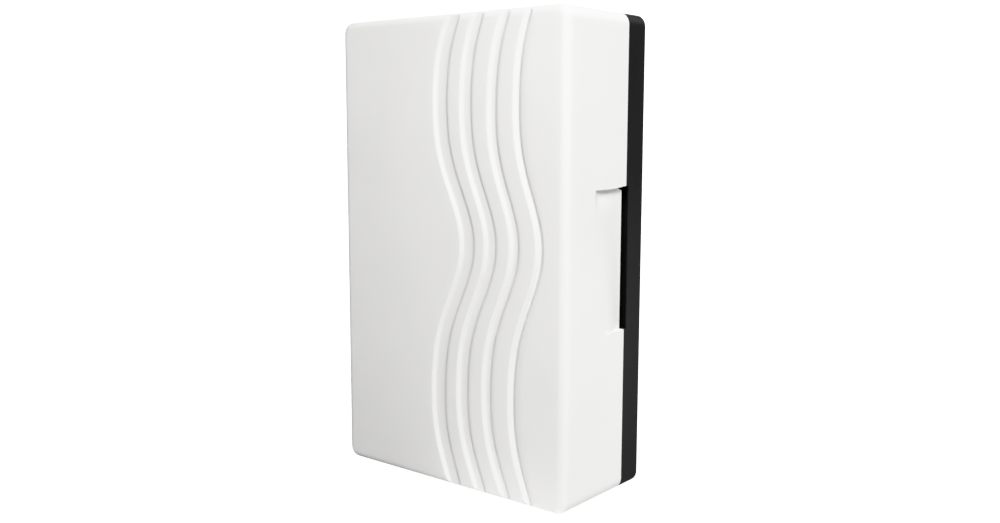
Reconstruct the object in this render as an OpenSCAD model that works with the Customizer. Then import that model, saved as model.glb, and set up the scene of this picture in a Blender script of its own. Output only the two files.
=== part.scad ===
// Wired two-note doorbell chime: a white cover with wave grooves on a black base,
// and inside it two tone bars with a solenoid striker between them.
// Modules are drawn as on a bench: x to the right, y up the wall, z out of the wall.
// hung() turns them to the wall: y becomes +Z and z becomes -Y, with the wall at Y = 0.

/* [Case] */
// Width across the wall
case_w = 124; // [118:1:140]
// Height up the wall
case_h = 200; // [190:1:230]
// Depth of the cover, from the joint line to its front face
cover_depth = 42.5; // [40:0.5:56]
// Depth of the base, from the wall to the joint line
base_depth = 12.5; // [10:0.5:16]
// Radius of the corners of the outline
corner_r = 5; // [4:0.5:9]
// Radius of the cover's front edges
edge_r = 3.5; // [3:0.5:5]
// Wall of the cover's sides
cover_wall = 2.2; // [1.8:0.1:2.6]
// Wall of the cover's front panel
front_wall = 3.4; // [2.8:0.1:4]
// Wall of the base's rim
rim_wall = 2.4; // [2:0.1:3]
// Thickness of the base's floor
floor_t = 2.5; // [2:0.1:3]

/* [Joint between cover and base] */
// Height of the lip that stands inside the cover
lip_h = 3.5; // [2:0.5:6]
// Wall of the lip and of the grip tongues
lip_wall = 1.6; // [1.2:0.1:2]
// Gap between the lip and the cover
lip_gap = 0.25; // [0.15:0.05:0.4]
// Height of the grip tongues above the joint line
tongue_h = 14; // [8:1:20]
// Width of a grip tongue
tongue_w = 14; // [8:1:20]
// Distance of the grip tongues from the middle
tongue_x = 35; // [30:1:40]

/* [Wave grooves] */
// Number of grooves
groove_count = 4; // [1:1:4]
// Place of the first groove's sharp bank, right of the middle
groove_x = 6.2; // [2:0.1:8]
// Step from one groove to the next
groove_pitch = 12.5; // [11:0.1:13]
// Distance from the soft bank to the sharp bank in the first groove
groove_gap = 6.6; // [6.6:0.1:8]
// How much narrower each next groove is
groove_taper = 1.4; // [1:0.1:1.4]
// Depth of the grooves
groove_depth = 1.2; // [0.6:0.1:1.4]
// Width of the soft bank
bank_w = 2.4; // [1.6:0.1:2.8]
// Width of the sharp bank
step_w = 2; // [0.5:0.1:2]
// Sideways swing of the first groove's wave
wave_swing = 7.5; // [3:0.1:8]
// Second swing, at half the wavelength, that sharpens the wave's left turns
wave_ripple = 1.2; // [0:0.1:1.5]
// Share by which each next groove's wave is flatter
wave_fade = 0.05; // [0:0.01:0.1]
// Length of one wave
wave_length = 120; // [90:1:160]
// Height of the wave's rightmost point, above mid height
wave_crest = 5; // [-20:0.5:20]
// Lean of the waves to the right, in degrees
wave_lean = 1; // [0:0.1:2]

/* [Side scoops and sound slots] */
// Height of a scoop
scoop_h = 60; // [40:1:70]
// Run of a scoop, from the joint line towards the front
scoop_run = 24; // [16:1:32]
// Depth of a scoop at the joint line
scoop_depth = 1.4; // [0.8:0.1:1.8]
// How far a scoop's back edge stands off the joint line
sound_gap = 0.6; // [0.4:0.1:1.5]
// How far the sound slot behind a scoop is cut into the base's rim
slot_drop = 2; // [1:0.5:3]

/* [Tone bars] */
// Clear space between the two bars, which the striker spans
bar_space = 60.8; // [57:0.2:66]
// Thickness of a bar
bar_t = 3; // [2:0.5:4]
// Length of the low bar
low_bar_l = 172; // [160:1:174]
// Length of the high bar
high_bar_l = 154; // [140:1:160]
// Radius of a bar's corners
bar_corner_r = 2; // [1:0.5:4]
// Gap from a bar to the cover's side
bar_side_gap = 2; // [1.5:0.1:3]

/* [Bar posts] */
// Radius of a post
post_r = 5; // [4.5:0.1:6]
// Radius of the spigot on a post
spigot_r = 3; // [2.6:0.1:3.4]
// Radius of a grommet's flanges
grommet_r = 6.5; // [6:0.1:7.5]
// Radius of a grommet's neck, in the bar's hole
neck_r = 4.6; // [4.2:0.1:5]
// Thickness of a grommet's flange
grommet_flange = 2.2; // [1.6:0.1:3]
// Radius of a bar washer
washer_r = 6; // [5:0.1:6.5]
// Thickness of a bar washer
washer_t = 0.8; // [0.5:0.1:1.2]
// Radius of the shank of the case's screws
screw_r = 1.45; // [1.2:0.05:1.6]
// Radius of the head of the case's screws
screw_head_r = 3.1; // [2.6:0.1:3.4]
// Height of the head of the case's screws
screw_head_h = 2.2; // [1.6:0.1:2.8]
// Length of the shank of the case's screws
screw_l = 12; // [8:0.5:13]

/* [Striker] */
// Height of the striker's axis above the wall
axis_z = 26; // [25:0.5:29]
// Travel to the right, to the high bar
ding_travel = 8; // [6:0.5:8]
// Travel to the left, to the low bar
dong_travel = 3; // [2:0.5:4]
// Room left between a tip and its bar at the end of the travel
strike_gap = 0.15; // [0.1:0.05:0.3]
// Radius of the steel core
core_r = 4; // [3.4:0.1:4.2]
// Length of the steel core
core_l = 32; // [29:0.5:34]
// Radius of the striker tips
tip_r = 3.2; // [2.6:0.1:3.3]
// Length of the low tip's nose, in front of the spring's seat
nose_l = 3.6; // [3.2:0.1:5]
// Radius of the spring's seat
seat_r = 6.6; // [6.2:0.1:7.5]
// Thickness of the spring's seat
seat_t = 1.6; // [1.2:0.1:2.2]
// Length of the low tip's hub, behind the seat
hub_l = 1.8; // [1:0.1:3]
// Radius of the core's end spigots
stub_r = 2; // [1.6:0.1:2.2]
// Length of the core's end spigots
stub_l = 3; // [2:0.1:3.5]

/* [Return spring] */
// Length at rest, from the seat to the yoke
spring_l = 13.2; // [12:0.2:15]
// Radius to the middle of the wire
spring_r = 5.3; // [5.2:0.1:5.6]
// Radius of the wire
wire_r = 0.3; // [0.2:0.05:0.35]
// Turns
spring_turns = 5.5; // [4:0.5:6]

/* [Solenoid] */
// Length of the bobbin
bobbin_l = 24; // [22:0.5:26]
// Radius of the bobbin's flanges
flange_r = 14; // [13.4:0.2:14]
// Thickness of the bobbin's flanges
flange_t = 1.6; // [1.2:0.1:2]
// Radius of the bobbin's tube
tube_r = 6; // [5.6:0.1:6.4]
// Radius of the winding
coil_r = 12.2; // [10:0.2:12.4]
// Thickness of the tape round the winding
tape_t = 0.3; // [0.2:0.1:0.6]
// Wall of the brass sleeve
sleeve_wall = 0.4; // [0.3:0.05:0.5]
// How far the sleeve stands out of the yoke
sleeve_out = 0.6; // [0.2:0.1:1]
// Thickness of the yoke's steel
yoke_t = 1.6; // [1.2:0.1:2]
// Width of the yoke
yoke_w = 30; // [28:0.5:32]
// Distance of the yoke's screws from the axis
yoke_screw_y = 20; // [19:0.5:22]
// Radius of a solder pin
pin_r = 0.5; // [0.4:0.05:0.6]
// Length of a solder pin outside its rail
pin_l = 4; // [3:0.5:5]
// Distance between the solder pins
pin_pitch = 10; // [8:0.5:11]

/* [Terminals] */
// Distance of the terminals' middle from the bottom edge
block_margin = 38; // [34:0.5:42]
// Length of the terminal block
block_l = 20; // [19:0.5:22]
// Distance between the two poles
pole_pitch = 14; // [13.6:0.2:16]
// Radius of a brass cage
cage_r = 3.2; // [3:0.1:3.4]
// Length of a brass cage
cage_l = 16; // [15:0.5:17]
// Radius of a cage's wire holes
wire_hole_r = 1.6; // [1.2:0.1:1.8]
// Depth of a cage's wire holes
wire_hole_l = 7; // [6:0.5:7]
// Distance of the terminal screws from the block's middle
clamp_y = 4.5; // [4:0.1:5]
// Radius of a terminal screw's shank
clamp_r = 1.4; // [1.2:0.05:1.5]
// Radius of a terminal screw's head
clamp_head_r = 2.5; // [2.2:0.1:2.7]
// Radius of a coil lead
lead_r = 0.8; // [0.5:0.1:0.9]

/* [Wall fixing] */
// Radius of the two lower screw holes
wall_hole_r = 2.25; // [1.75:0.05:2.5]
// Distance between the two lower screw holes
wall_hole_pitch = 44; // [36:1:46]
// Radius of the cable hole
cable_hole_r = 5; // [4:0.25:6]
// Distance of the cable hole and the lower screws from the bottom edge
foot_margin = 16; // [14:0.5:17]
// Radius of the keyhole's entry
key_entry_r = 4.5; // [4:0.25:5]
// Radius of the keyhole's slot
key_slot_r = 2.3; // [1.9:0.1:2.6]
// Run of the keyhole's slot, upwards from the entry
key_run = 8; // [7:0.5:10]
// Distance of the keyhole's entry from the top edge
key_margin = 22; // [20:0.5:30]

/* [Hidden] */

$fn = 64;
// Overshoot of a cut past the face that it opens
over = 1;
// Depth to which a moulded feature is sunk into the wall that carries it
root = 0.4;
// Clearance of a screw in its pilot hole, of a press fit and of a sliding core
pilot_gap = 0.06;
press_gap = 0.02;
slide_gap = 0.15;
// Room round a screw head, under a washer and in a washer's hole
head_gap = 0.3;
seat_gap = 0.2;
// Steps of a rounded corner, and length of a groove's steps
corner_steps = 8;
groove_step = 4;

case_depth = base_depth + cover_depth;
half_w = case_w / 2;
half_h = case_h / 2;
front_edge_r = min(edge_r, corner_r - 0.5);

// A bar that hangs free has its nodes at this share of its length from each end
node_share = 0.224;
bar_out_x = half_w - cover_wall - scoop_depth - bar_side_gap;
bar_in_x = bar_space / 2;
bar_w = bar_out_x - bar_in_x;
bar_x = bar_in_x + bar_w / 2;
low_node_y = low_bar_l * (0.5 - node_share);
high_node_y = high_bar_l * (0.5 - node_share);
POSTS_LOW = [[-bar_x, -low_node_y], [-bar_x, low_node_y]];
POSTS_HIGH = [[bar_x, -high_node_y], [bar_x, high_node_y]];
POSTS = concat(POSTS_LOW, POSTS_HIGH);
shoulder_z = axis_z - bar_t / 2 - grommet_flange;
grommet_top_z = axis_z + bar_t / 2 + grommet_flange;
spigot_top_z = grommet_top_z - seat_gap;
washer_hole_r = screw_r + seat_gap;

// Striker stations from left to right
dong_end_x = -bar_in_x + dong_travel + strike_gap;
seat_x = dong_end_x + nose_l + seat_t;
core_x0 = seat_x + hub_l;
core_x1 = core_x0 + core_l;
ding_end_x = bar_in_x - ding_travel - strike_gap;
yoke_x0 = seat_x + spring_l;
yoke_l = bobbin_l + 2 * yoke_t;
yoke_x1 = yoke_x0 + yoke_l;
coil_x = yoke_x0 + yoke_l / 2;
bobbin_x0 = yoke_x0 + yoke_t;
bobbin_x1 = bobbin_x0 + bobbin_l;
sleeve_in_r = core_r + slide_gap;
sleeve_out_r = sleeve_in_r + sleeve_wall;

// Yoke: its plate lies behind the flanges, clear of them at its bends, and its ears rise past the axis
bend_r = 2.2;
yoke_top_z = axis_z - flange_r - (bend_r - yoke_t) - seat_gap;
yoke_z = yoke_top_z - yoke_t;
ear_h = axis_z + flange_r - yoke_z;
ear_corner_r = 8;
tab_w = 16;
tab_end = 4;
boss_r = 4.5;

// Rail with the solder pins, under the right flange
rail_l = 3.4;
rail_drop = 2;
rail_end = 3;
pin_root = 2;
rail_y0 = -flange_r - rail_drop;
rail_y1 = -(coil_r + tape_t) - head_gap;
rail_w = pin_pitch + 2 * rail_end;
pin_x = bobbin_x1 - rail_l / 2;
pin_end_y = rail_y0 - pin_l;

// Terminal block on its pad
pad_h = 3;
block_foot = 1.8;
barrel_wall = 1.5;
block_edge = 0.5;
barrel_r = cage_r + barrel_wall;
block_w = pole_pitch + 2 * (barrel_r + block_edge);
block_z = floor_t + pad_h;
cage_z = block_z + block_foot + cage_r;
tower_wall = 1;
tower_rise = 6;
tower_r = clamp_head_r + head_gap + tower_wall;
tower_h = cage_r + tower_rise;
clamp_tip_z = wire_hole_r + head_gap;
clamp_slot_w = 0.7;
mouth_gap = 0.4;
clamp_head_h = 1.8;
clamp_top = 1.4;
clamp_head_z = tower_h - clamp_top - clamp_head_h;
block_screw_r = 1.2;
block_screw_head_r = 2;
block_screw_head_h = 1.6;
block_screw_l = 8;
block_y = block_margin - half_h;
POLES = [-pole_pitch / 2, pole_pitch / 2];

// Wall fixing
foot_y = foot_margin - half_h;
key_y = half_h - key_margin;
collar_h = 2;
collar_wall = 2;

// Base's inside
lip_inset = cover_wall + lip_gap;
lip_in = lip_inset + lip_wall;
lip_root_h = 4;
rib_t = 1.6;
rib_h = 4;
rib_y = 34;
slot_land = 0.5;
slot_fall = 1.2;
gusset_w = 4.5;
gusset_h = 10;

// Coil leads: from a pin, down to the terminal's upper wire hole
lead_in = 4;
lead_start = 6;
mouth_run = 3;
solder_gap = 0.05;
lead_sides = 8;
lead_steps = 3;
lead_end_y = block_y + cage_l / 2 - lead_in;
mouth_y = block_y + block_l / 2;
PIN_A = [pin_x, pin_end_y - solder_gap, axis_z - pin_pitch / 2];
PIN_B = [pin_x, pin_end_y - solder_gap, axis_z + pin_pitch / 2];
LEAD_A = [PIN_A, PIN_A + [0, -lead_start, 0], [14, -34, 17], [8, mouth_y + 9, 12],
    [POLES[1], mouth_y + mouth_run, cage_z], [POLES[1], lead_end_y, cage_z]];
LEAD_B = [PIN_B, PIN_B + [0, -lead_start, 0], [11, -34, 25], [-3, mouth_y + 10, 16],
    [POLES[0], mouth_y + mouth_run, cage_z], [POLES[0], lead_end_y, cage_z]];

// Turns the bench drawing to the wall
module hung() {
    rotate([90, 0, 0]) children();
}

// Points of an arc about (cx, cy) from angle a0 to a1
function arc(cx, cy, r, a0, a1, n) =
    [for (i = [0:n]) let (a = a0 + (a1 - a0) * i / n) [cx + r * cos(a), cy + r * sin(a)]];

// Outline of a rectangle w by h with rounded corners, counter-clockwise
function rounded(w, h, r, n = corner_steps) = concat(
    arc(w / 2 - r, h / 2 - r, r, 0, 90, n),
    arc(r - w / 2, h / 2 - r, r, 90, 180, n),
    arc(r - w / 2, r - h / 2, r, 180, 270, n),
    arc(w / 2 - r, r - h / 2, r, 270, 360, n));

// Outline of the case, drawn in by inset
module case_outline(inset = 0) {
    polygon(rounded(case_w - 2 * inset, case_h - 2 * inset, max(corner_r - inset, 0.5)));
}

// Faces of a skin over m rings of k points, with both ends closed
function skin_faces(m, k) = concat(
    [for (i = [0:m - 2], j = [0:k - 1]) let (n = (j + 1) % k) [i * k + j, (i + 1) * k + j, (i + 1) * k + n]],
    [for (i = [0:m - 2], j = [0:k - 1]) let (n = (j + 1) % k) [i * k + j, (i + 1) * k + n, i * k + n]],
    [[for (j = [0:k - 1]) j]],
    [[for (j = [0:k - 1]) (m - 1) * k + (k - j) % k]]);

module skin(rings) {
    polyhedron([for (r = rings) each r], skin_faces(len(rings), len(rings[0])), convexity = 10);
}

function unit(v) = v / norm(v);

// Ring of n points, radius r, about point c and square to direction t
function ring(c, t, side, r, n) =
    let (u = unit(side - t * (side * t)), v = cross(t, u))
    [for (i = [0:n - 1]) c + r * (cos(360 * i / n) * u + sin(360 * i / n) * v)];

// Smooth curve through the points p, with n steps between two of them
function curve_at(a, b, c, d, t) =
    0.5 * (2 * b + (c - a) * t + (2 * a - 5 * b + 4 * c - d) * t * t + (3 * b - a - 3 * c + d) * t * t * t);
function curve(p, n) = let (m = len(p)) concat(
    [for (i = [0:m - 2], k = [0:n - 1])
        curve_at(p[max(i - 1, 0)], p[i], p[i + 1], p[min(i + 2, m - 1)], k / n)],
    [p[m - 1]]);

// Solid with a rounded front edge: the case outline drawn in by inset, from z0 to z1
module rounded_shell(inset, z0, z1, r) {
    outline_r = max(corner_r - inset, r + 0.5);
    w = case_w - 2 * inset;
    h = case_h - 2 * inset;
    levels = concat([[z0, 0]], [for (a = arc(0, 0, r, 0, 90, corner_steps)) [z1 - r + a[1], r - a[0]]]);
    skin([for (l = levels)
        [for (p = rounded(w - 2 * l[1], h - 2 * l[1], outline_r - l[1])) [p[0], p[1], l[0]]]]);
}

// Sideways place of the wave at height y
function wave(y) = let (a = 360 * (y - wave_crest) / wave_length)
    wave_swing * cos(a) + wave_ripple * cos(2 * a) + y * tan(wave_lean);

// Section of groove i: sharp bank, floor and soft bank, as [x, height over the front face]
function groove_section(i) =
    let (sharp = groove_x + i * groove_pitch, soft = sharp - groove_gap + i * groove_taper, n = 4)
    concat(
        [[sharp + step_w / 2, over], [sharp + step_w / 2, 0], [sharp - step_w / 2, -groove_depth]],
        [for (k = [n:-1:0])
            [soft + bank_w * (k / n - 0.5), -groove_depth * (1 - cos(180 * k / n)) / 2]],
        [[soft - bank_w / 2, over]]);

module groove(i) {
    section = groove_section(i);
    share = 1 - i * wave_fade;
    steps = ceil(case_h / groove_step);
    reach = half_h + over;
    skin([for (k = [0:steps]) let (y = reach * (2 * k / steps - 1))
        [for (s = section) [s[0] + share * wave(y), y, case_depth + s[1]]]]);
}

// Round scoop in a side, grown by more for the wall behind it
scoop_r = (scoop_run * scoop_run + scoop_depth * scoop_depth) / (2 * scoop_depth);
module scoop(side, more = 0) {
    translate([side * (half_w + scoop_r - scoop_depth), 0, base_depth])
        rotate([90, 0, 0])
            cylinder(h = scoop_h + 2 * more, r = scoop_r + more, center = true, $fn = 360);
}

module cover() {
    color("#f1f1ef") hung() difference() {
        rounded_shell(0, base_depth, case_depth, front_edge_r);
        difference() {
            rounded_shell(cover_wall, base_depth - over, case_depth - front_wall, front_edge_r - cover_wall);
            for (side = [-1, 1]) scoop(side, cover_wall);
        }
        for (side = [-1, 1]) {
            scoop(side);
            translate([side * half_w - half_w / 2, -scoop_h / 2, base_depth - over])
                cube([half_w, scoop_h, sound_gap + over]);
        }
        for (i = [0:groove_count - 1]) groove(i);
    }
}

// Post with its shoulder under a grommet, its spigot and four gussets
module post() {
    translate([0, 0, floor_t - root]) cylinder(h = shoulder_z - floor_t + root, r = post_r);
    translate([0, 0, shoulder_z - root]) cylinder(h = spigot_top_z - shoulder_z + root, r = spigot_r);
    for (a = [0:90:270]) rotate(a)
        translate([post_r - root, rib_t / 2, floor_t - root]) rotate([90, 0, 0]) linear_extrude(rib_t)
            polygon([[0, 0], [gusset_w + root, 0], [gusset_w + root, root], [0, gusset_h]]);
}

// Round collar on the floor round a hole
module collar(hole_r) {
    translate([0, 0, floor_t - root]) cylinder(h = collar_h + root, r = hole_r + collar_wall);
}

module lip() {
    translate([0, 0, base_depth - lip_root_h]) linear_extrude(lip_root_h) difference() {
        case_outline(rim_wall - root);
        case_outline(lip_in);
    }
    translate([0, 0, base_depth - root]) linear_extrude(lip_h + root) difference() {
        case_outline(lip_inset);
        case_outline(lip_in);
    }
    for (x = [-tongue_x, tongue_x], side = [-1, 1])
        translate([x, side * (half_h - lip_inset - lip_wall / 2), base_depth - root])
            translate([-tongue_w / 2, -lip_wall / 2, 0]) cube([tongue_w, lip_wall, tongue_h + root]);
}

// Sound slot in the rim behind a scoop: a notch whose sill falls away inwards
module sound_slot(side) {
    run = lip_in + over;
    sill_z = base_depth - slot_drop;
    mirror([side < 0 ? 1 : 0, 0, 0])
        translate([half_w, scoop_h / 2, 0]) rotate([90, 0, 0]) linear_extrude(scoop_h)
            polygon([[over, base_depth + over], [-run, base_depth + over],
                [-run, sill_z - slot_fall * (run - slot_land)], [-slot_land, sill_z], [over, sill_z]]);
}

module base() {
    gap_y = scoop_h / 2 + 2 * cover_wall;
    bosses_z = floor_t - root;
    color("#2a2829") hung() difference() {
        union() {
            difference() {
                linear_extrude(base_depth) case_outline();
                translate([0, 0, floor_t]) linear_extrude(base_depth) case_outline(rim_wall);
            }
            difference() {
                lip();
                translate([-case_w, -gap_y, base_depth]) cube([2 * case_w, 2 * gap_y, lip_h + over]);
            }
            for (p = POSTS) translate(p) post();
            for (s = [-1, 1]) {
                translate([coil_x, s * yoke_screw_y, bosses_z]) cylinder(h = yoke_z - bosses_z, r = boss_r);
                translate([s * wall_hole_pitch / 2, foot_y, 0]) collar(wall_hole_r);
                translate([-bar_x, s * rib_y - rib_t / 2, bosses_z]) cube([2 * bar_x, rib_t, rib_h + root]);
            }
            for (r = [[-bar_x, low_node_y], [bar_x, high_node_y]])
                translate([r[0] - rib_t / 2, -r[1], bosses_z]) cube([rib_t, 2 * r[1], rib_h + root]);
            translate([0, foot_y, 0]) collar(cable_hole_r);
            translate([-block_w / 2, block_y - block_l / 2, bosses_z]) cube([block_w, block_l, pad_h + root]);
        }
        for (p = POSTS)
            translate([p[0], p[1], spigot_top_z - screw_l])
                cylinder(h = screw_l + over, r = screw_r + pilot_gap);
        for (s = [-1, 1]) {
            sound_slot(s);
            translate([coil_x, s * yoke_screw_y, over]) cylinder(h = yoke_z, r = screw_r + pilot_gap);
            translate([s * wall_hole_pitch / 2, foot_y, -over])
                cylinder(h = floor_t + collar_h + 2 * over, r = wall_hole_r);
        }
        translate([0, foot_y, -over]) cylinder(h = floor_t + collar_h + 2 * over, r = cable_hole_r);
        translate([0, block_y, over]) cylinder(h = block_z, r = block_screw_r + pilot_gap);
        translate([0, key_y, -over]) {
            cylinder(h = floor_t + 2 * over, r = key_entry_r);
            translate([-key_slot_r, 0, 0]) cube([2 * key_slot_r, key_run, floor_t + 2 * over]);
            translate([0, key_run, 0]) cylinder(h = floor_t + 2 * over, r = key_slot_r);
        }
    }
}

// Flat bar with a grommet hole at each node
module tone_bar(x, length, node_y) {
    color("#c9cbcc") hung() translate([x, 0, axis_z - bar_t / 2]) linear_extrude(bar_t) difference() {
        polygon(rounded(bar_w, length, bar_corner_r));
        for (y = [-node_y, node_y]) translate([0, y]) circle(r = neck_r + pilot_gap);
    }
}

module low_tone_bar() {
    tone_bar(-bar_x, low_bar_l, low_node_y);
}

module high_tone_bar() {
    tone_bar(bar_x, high_bar_l, high_node_y);
}

// Grommet with two flanges and a neck, its rims rounded
module grommets(places) {
    rim = grommet_flange / 3;
    half = bar_t / 2 + grommet_flange;
    bore = spigot_r + pilot_gap;
    side = concat(
        arc(grommet_r - rim, -half + rim, rim, -90, 0, 4),
        [[grommet_r, -bar_t / 2], [neck_r, -bar_t / 2]]);
    color("#1d1d1e") hung() for (p = places) translate([p[0], p[1], axis_z]) rotate_extrude()
        polygon(concat([[bore, -half]], side,
            [for (i = [len(side) - 1:-1:0]) [side[i][0], -side[i][1]]], [[bore, half]]));
}

module low_bar_grommets() {
    grommets(POSTS_LOW);
}

module high_bar_grommets() {
    grommets(POSTS_HIGH);
}

module bar_washers() {
    color("#b9bbbd") hung() for (p = POSTS) translate([p[0], p[1], grommet_top_z]) difference() {
        cylinder(h = washer_t, r = washer_r);
        translate([0, 0, -over]) cylinder(h = washer_t + 2 * over, r = washer_hole_r);
    }
}

// Pan-head screw, its head's seat at z = 0, with a cross recess
module pan_screw(r, head_r, head_h, length) {
    slot_w = head_r / 3;
    color("#c4c2b6") difference() {
        rotate_extrude() polygon(concat(
            [[0, -length], [r / 2, -length], [r, r - length], [r, 0], [head_r, 0], [head_r, head_h / 3]],
            arc(head_r - 2 * head_h / 3, head_h / 3, 2 * head_h / 3, 15, 90, 5), [[0, head_h]]));
        for (a = [0, 90]) rotate(a)
            translate([-0.6 * head_r, -slot_w / 2, head_h / 2]) cube([1.2 * head_r, slot_w, head_h]);
    }
}

module bar_screws() {
    hung() for (p = POSTS) translate([p[0], p[1], grommet_top_z + washer_t])
        pan_screw(screw_r, screw_head_r, screw_head_h, screw_l);
}

module frame_screws() {
    length = min(screw_l, yoke_top_z - 2 * over);
    hung() for (s = [-1, 1]) translate([coil_x, s * yoke_screw_y, yoke_top_z])
        pan_screw(screw_r, screw_head_r, screw_head_h, length);
}

// Section of the yoke across the wall: a U with bent corners, plate down and ears up
function yoke_section() = let (in_r = bend_r - yoke_t, x0 = yoke_x0, x1 = yoke_x1, top = yoke_z + ear_h)
    concat(
        [[x0, top]], arc(x0 + bend_r, yoke_z + bend_r, bend_r, 180, 270, 4),
        arc(x1 - bend_r, yoke_z + bend_r, bend_r, 270, 360, 4), [[x1, top], [x1 - yoke_t, top]],
        arc(x1 - bend_r, yoke_z + bend_r, in_r, 0, -90, 4),
        arc(x0 + bend_r, yoke_z + bend_r, in_r, 270, 180, 4), [[x0 + yoke_t, top]]);

module solenoid_frame() {
    tab_y = yoke_screw_y + tab_end;
    ear_y = yoke_w / 2 - ear_corner_r;
    ear_z = yoke_z + ear_h - ear_corner_r;
    bore = tube_r + pilot_gap;
    color("#a9adb0") hung() difference() {
        union() {
            intersection() {
                translate([0, yoke_w / 2, 0]) rotate([90, 0, 0]) linear_extrude(yoke_w)
                    polygon(yoke_section());
                translate([yoke_x0 - over, 0, 0]) rotate([90, 0, 90]) linear_extrude(yoke_l + 2 * over)
                    polygon(concat(
                        [[-yoke_w / 2, yoke_z - over], [yoke_w / 2, yoke_z - over]],
                        arc(ear_y, ear_z, ear_corner_r, 0, 90, corner_steps),
                        arc(-ear_y, ear_z, ear_corner_r, 90, 180, corner_steps)));
            }
            translate([coil_x, 0, yoke_z]) linear_extrude(yoke_t)
                polygon(rounded(tab_w, 2 * tab_y, tab_end));
        }
        translate([yoke_x0 - over, 0, axis_z]) rotate([0, 90, 0]) cylinder(h = yoke_l + 2 * over, r = bore);
        for (s = [-1, 1]) translate([coil_x, s * yoke_screw_y, yoke_z - over])
            cylinder(h = yoke_t + 2 * over, r = washer_hole_r);
    }
}

// Round solid about the striker's axis from a profile of [x, radius] points
module turned(profile) {
    translate([0, 0, axis_z]) rotate([0, 90, 0]) rotate_extrude() polygon([for (p = profile) [p[1], p[0]]]);
}

// Tube about the striker's axis
module tube(x0, x1, r_in, r_out) {
    turned([[x0, r_in], [x0, r_out], [x1, r_out], [x1, r_in]]);
}

module coil_bobbin() {
    bore = sleeve_out_r + press_gap;
    color("#e9e4d4") hung() difference() {
        union() {
            turned([[yoke_x0, bore], [yoke_x0, tube_r], [bobbin_x0, tube_r], [bobbin_x0, flange_r],
                [bobbin_x0 + flange_t, flange_r], [bobbin_x0 + flange_t, tube_r],
                [bobbin_x1 - flange_t, tube_r], [bobbin_x1 - flange_t, flange_r], [bobbin_x1, flange_r],
                [bobbin_x1, tube_r], [yoke_x1, tube_r], [yoke_x1, bore]]);
            translate([bobbin_x1 - rail_l, rail_y0, axis_z - rail_w / 2])
                cube([rail_l, rail_y1 - rail_y0, rail_w]);
        }
        for (s = [-1, 1]) translate([pin_x, rail_y0 - over, axis_z + s * pin_pitch / 2])
            rotate([-90, 0, 0]) cylinder(h = pin_root + over, r = pin_r + press_gap);
    }
}

module coil_winding() {
    color("#a8602f") hung()
        tube(bobbin_x0 + flange_t, bobbin_x1 - flange_t, tube_r + press_gap, coil_r);
}

module coil_tape() {
    color("#d8b13c") hung()
        tube(bobbin_x0 + flange_t, bobbin_x1 - flange_t, coil_r + press_gap, coil_r + tape_t);
}

module coil_pins() {
    color("#c8c3b0") hung() for (s = [-1, 1])
        translate([pin_x, pin_end_y, axis_z + s * pin_pitch / 2])
            rotate([-90, 0, 0]) cylinder(h = pin_l + pin_root, r = pin_r);
}

module guide_sleeve() {
    color("#c9a24a") hung() tube(yoke_x0 - sleeve_out, yoke_x1 + sleeve_out, sleeve_in_r, sleeve_out_r);
}

module plunger_core() {
    chamfer = 0.5;
    color("#9ea2a6") hung() turned([[core_x0 - stub_l, 0], [core_x0 - stub_l, stub_r], [core_x0, stub_r],
        [core_x0, core_r - chamfer], [core_x0 + chamfer, core_r], [core_x1 - chamfer, core_r],
        [core_x1, core_r - chamfer], [core_x1, stub_r], [core_x1 + stub_l, stub_r], [core_x1 + stub_l, 0]]);
}

// Nose of a striker tip: a dome of radius r that ends at x, facing left or right
function nose(x, r, way) = [for (p = arc(0, 0, r, 0, 90, 8)) [x + way * (r - p[1]) * 0.6, p[0]]];

module dong_tip() {
    bore = stub_r + press_gap;
    dome = nose(dong_end_x, tip_r, 1);
    color("#eeeae0") hung() turned(concat(
        [for (i = [len(dome) - 1:-1:0]) dome[i]],
        [[seat_x - seat_t, tip_r], [seat_x - seat_t, seat_r], [seat_x, seat_r], [seat_x, core_r],
            [core_x0, core_r], [core_x0, bore], [core_x0 - stub_l - press_gap, bore],
            [core_x0 - stub_l - press_gap, 0]]));
}

module ding_tip() {
    bore = stub_r + press_gap;
    color("#eeeae0") hung() turned(concat(
        [[core_x1 + stub_l + press_gap, 0], [core_x1 + stub_l + press_gap, bore], [core_x1, bore],
            [core_x1, tip_r]],
        nose(ding_end_x, tip_r, -1)));
}

// Centre line of the spring, with its wire just clear of the seat and the yoke
spring_rings = round(8 * spring_turns);
spring_x0 = seat_x + wire_r + pilot_gap;
spring_run = spring_l - 2 * (wire_r + pilot_gap);
function spring_side(i) = let (a = 45 * i) [0, cos(a), sin(a)];
function spring_point(i) =
    [spring_x0 + spring_run * i / spring_rings, 0, axis_z] + spring_r * spring_side(i);
function spring_way(i) = let (a = 45 * i)
    unit([spring_run / spring_rings, -spring_r * sin(a) * PI / 4, spring_r * cos(a) * PI / 4]);
SPRING_LINE = [for (i = [0:spring_rings]) spring_point(i)];
spring_self_gap = min([for (i = [0:spring_rings - 5], j = [i + 5:spring_rings])
    norm(SPRING_LINE[j] - SPRING_LINE[i])]) - 2 * wire_r;
echo(str("least gap of the return spring to itself: ", spring_self_gap, " mm"));

module return_spring() {
    color("#b4b7ba") hung()
        skin([for (i = [0:spring_rings]) ring(SPRING_LINE[i], spring_way(i), spring_side(i), wire_r, 6)]);
}

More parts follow.
